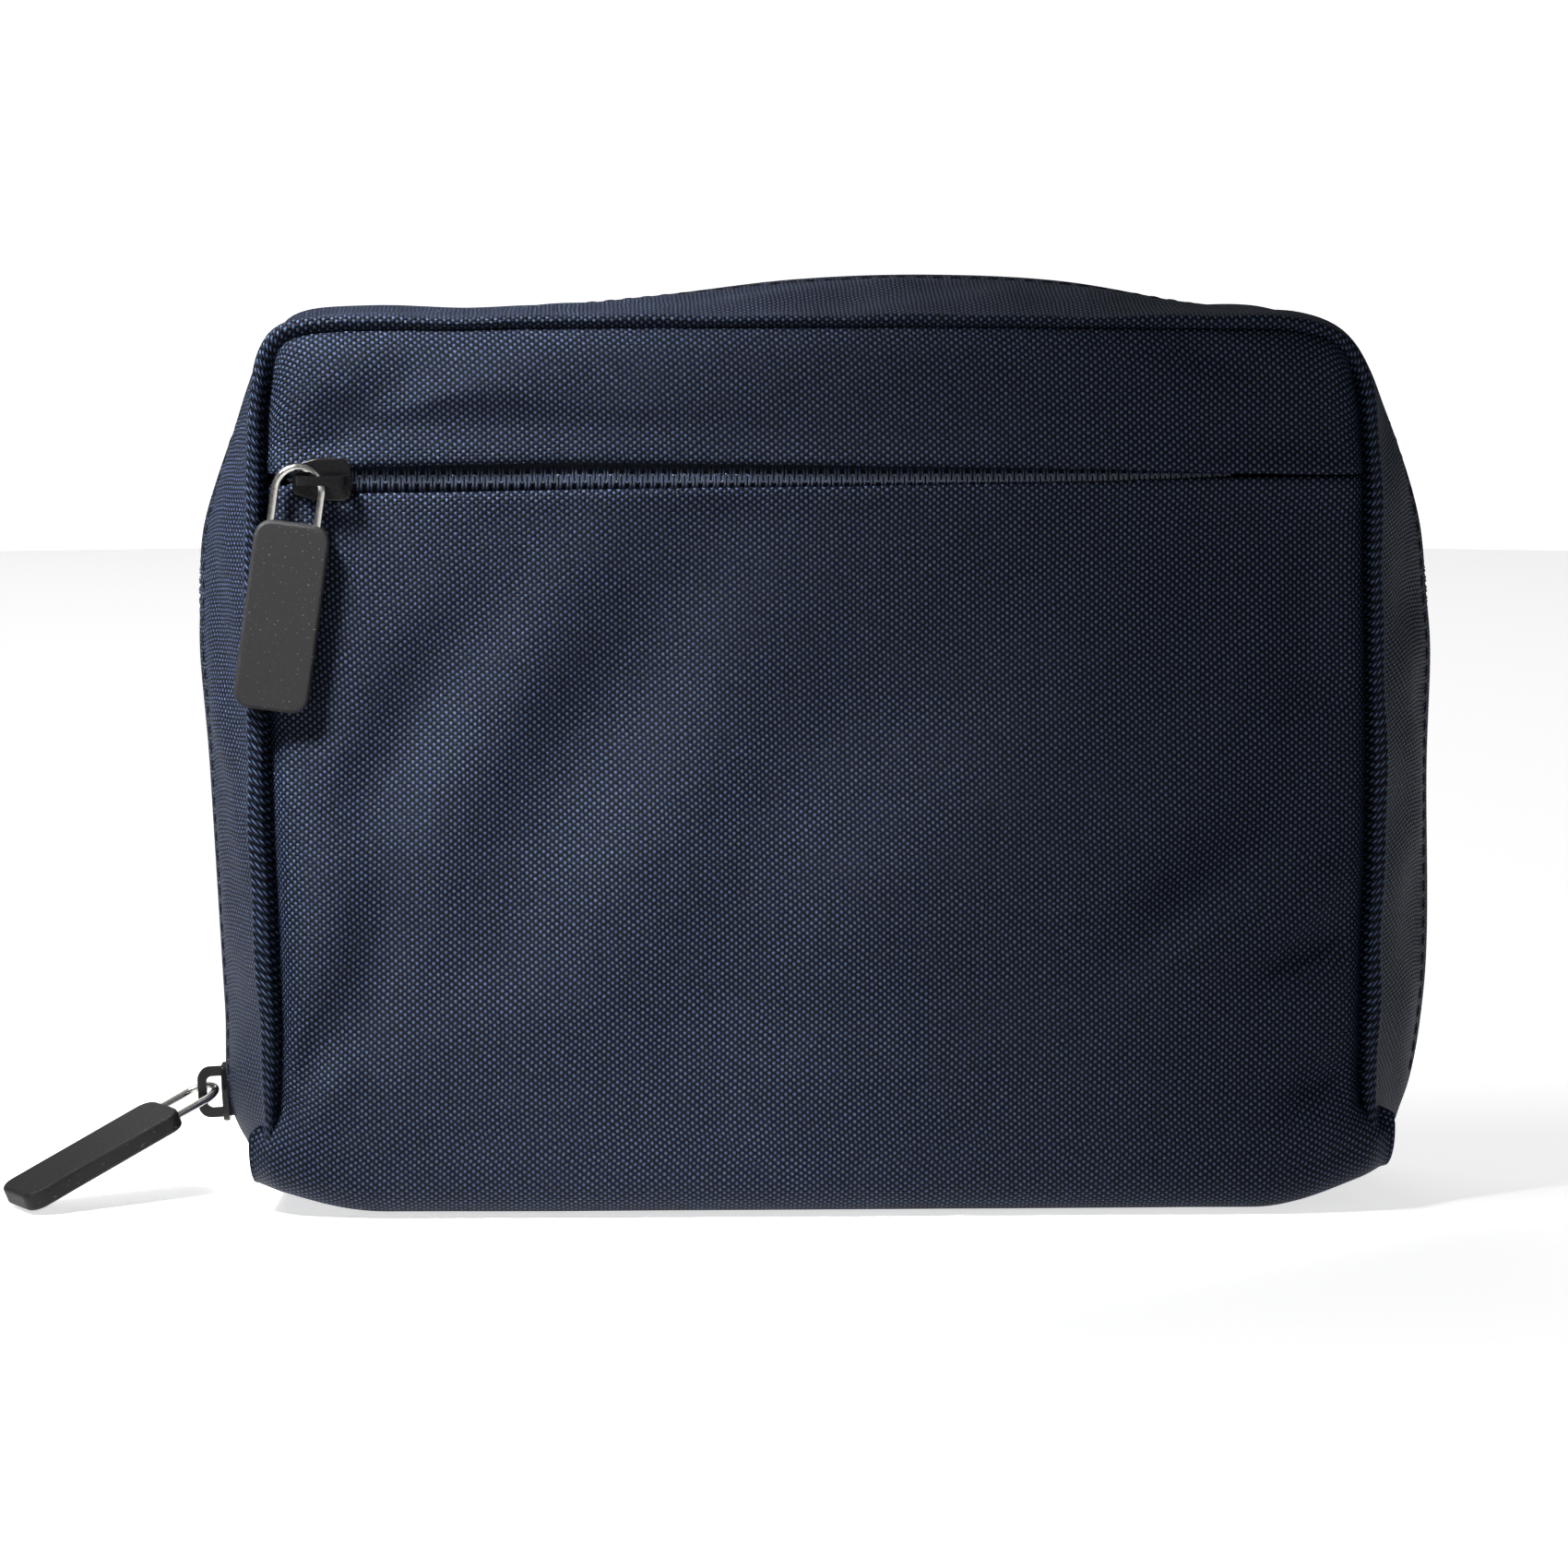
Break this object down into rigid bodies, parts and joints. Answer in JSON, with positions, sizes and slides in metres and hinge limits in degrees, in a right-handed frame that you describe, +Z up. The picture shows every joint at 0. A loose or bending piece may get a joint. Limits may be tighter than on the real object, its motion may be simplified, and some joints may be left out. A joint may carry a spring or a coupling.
{
  "type": "travel document organizer",
  "caption": "Zipped woven-polyester travel document organizer: clamshell pouch with a front zip pocket, inside sleeves, card slots and rubber zip pulls.",
  "frame": {"origin": "middle of the underside, on the surface that the pouch stands on", "axes": "+X along the width, to the right seen from the front; +Y towards the back; +Z up"},
  "size_m": [0.2532, 0.0602, 0.164],
  "materials": {
    "navy_polyester": "plain weave, coated, matt",
    "navy_lining": "plain weave, thin",
    "foam": "closed-cell foam",
    "mesh": "knitted mesh",
    "elastic": "woven elastic",
    "zip_tape": "herringbone tape",
    "zip_coil": "glossy nylon coil",
    "zip_stop": "moulded",
    "slider_black": "gloss black enamel",
    "pull_wire": "polished steel wire",
    "pull_rubber": "matt moulded rubber"
  },
  "bodies": {
    "back_shell": {"bottom_panel": "navy_polyester", "bottom_lining": "navy_lining", "back_panel": "navy_polyester", "back_gusset": "navy_polyester", "back_foam": "foam", "back_lining": "navy_lining", "document_sleeve_seams": "navy_lining", "document_sleeve": "navy_lining", "passport_sleeve_seams": "navy_lining", "passport_sleeve": "navy_lining", "card_slot_1": "navy_lining", "card_slot_2": "navy_lining", "card_slot_3": "navy_lining", "pen_loop": "elastic", "zip_end_tabs": "navy_polyester", "back_zip_tape": "zip_tape", "back_zip_coil": "zip_coil"},
    "front_shell": {"front_upper_panel": "navy_polyester", "front_lower_panel": "navy_polyester", "front_gusset": "navy_polyester", "pocket_coil_lower": "zip_coil", "pocket_tape_lower": "zip_tape", "pocket_coil_upper": "zip_coil", "pocket_tape_upper": "zip_tape", "pocket_zip_stops": "zip_stop", "front_seam_binding": "navy_lining", "pocket_bag_wall": "navy_lining", "front_foam": "foam", "front_lining": "navy_lining", "mesh_pocket_seams": "mesh", "mesh_pocket": "mesh", "mesh_pocket_elastic": "elastic", "front_zip_tape": "zip_tape", "front_zip_coil": "zip_coil"},
    "pocket_slider": {"pocket_slider_body": "slider_black", "pocket_slider_bail": "slider_black"},
    "pocket_pull": {"pocket_pull_wire": "pull_wire", "pocket_pull_tab": "pull_rubber"},
    "main_slider": {"main_slider_body": "slider_black", "main_slider_bail": "slider_black"},
    "main_pull": {"main_pull_wire": "pull_wire", "main_pull_tab": "pull_rubber"}
  },
  "joints": [
    {"name": "front_shell_open", "type": "hinge", "parent": "back_shell", "child": "front_shell", "pos_m": [0, -0.027, 0], "axis": [1, 0, 0], "range_deg": [0, 85]},
    {"name": "pocket_slide", "type": "slide", "parent": "front_shell", "child": "pocket_slider", "axis": [1, 0, 0], "range_m": [0, 0.152]},
    {"name": "pocket_pull_swing", "type": "hinge", "parent": "pocket_slider", "child": "pocket_pull", "pos_m": [-0.0897, -0.0302, 0.1285], "axis": [0, 1, 0], "range_deg": [-40, 80]},
    {"name": "main_slide", "type": "slide", "parent": "back_shell", "child": "main_slider", "axis": [-0.0506, 0, 0.9987], "range_m": [0, 0.094]},
    {"name": "main_pull_lift", "type": "hinge", "parent": "main_slider", "child": "main_pull", "pos_m": [-0.1094, 0, 0.0177], "axis": [-0.5, 0.866, 0], "range_deg": [0, 45]}
  ]
}
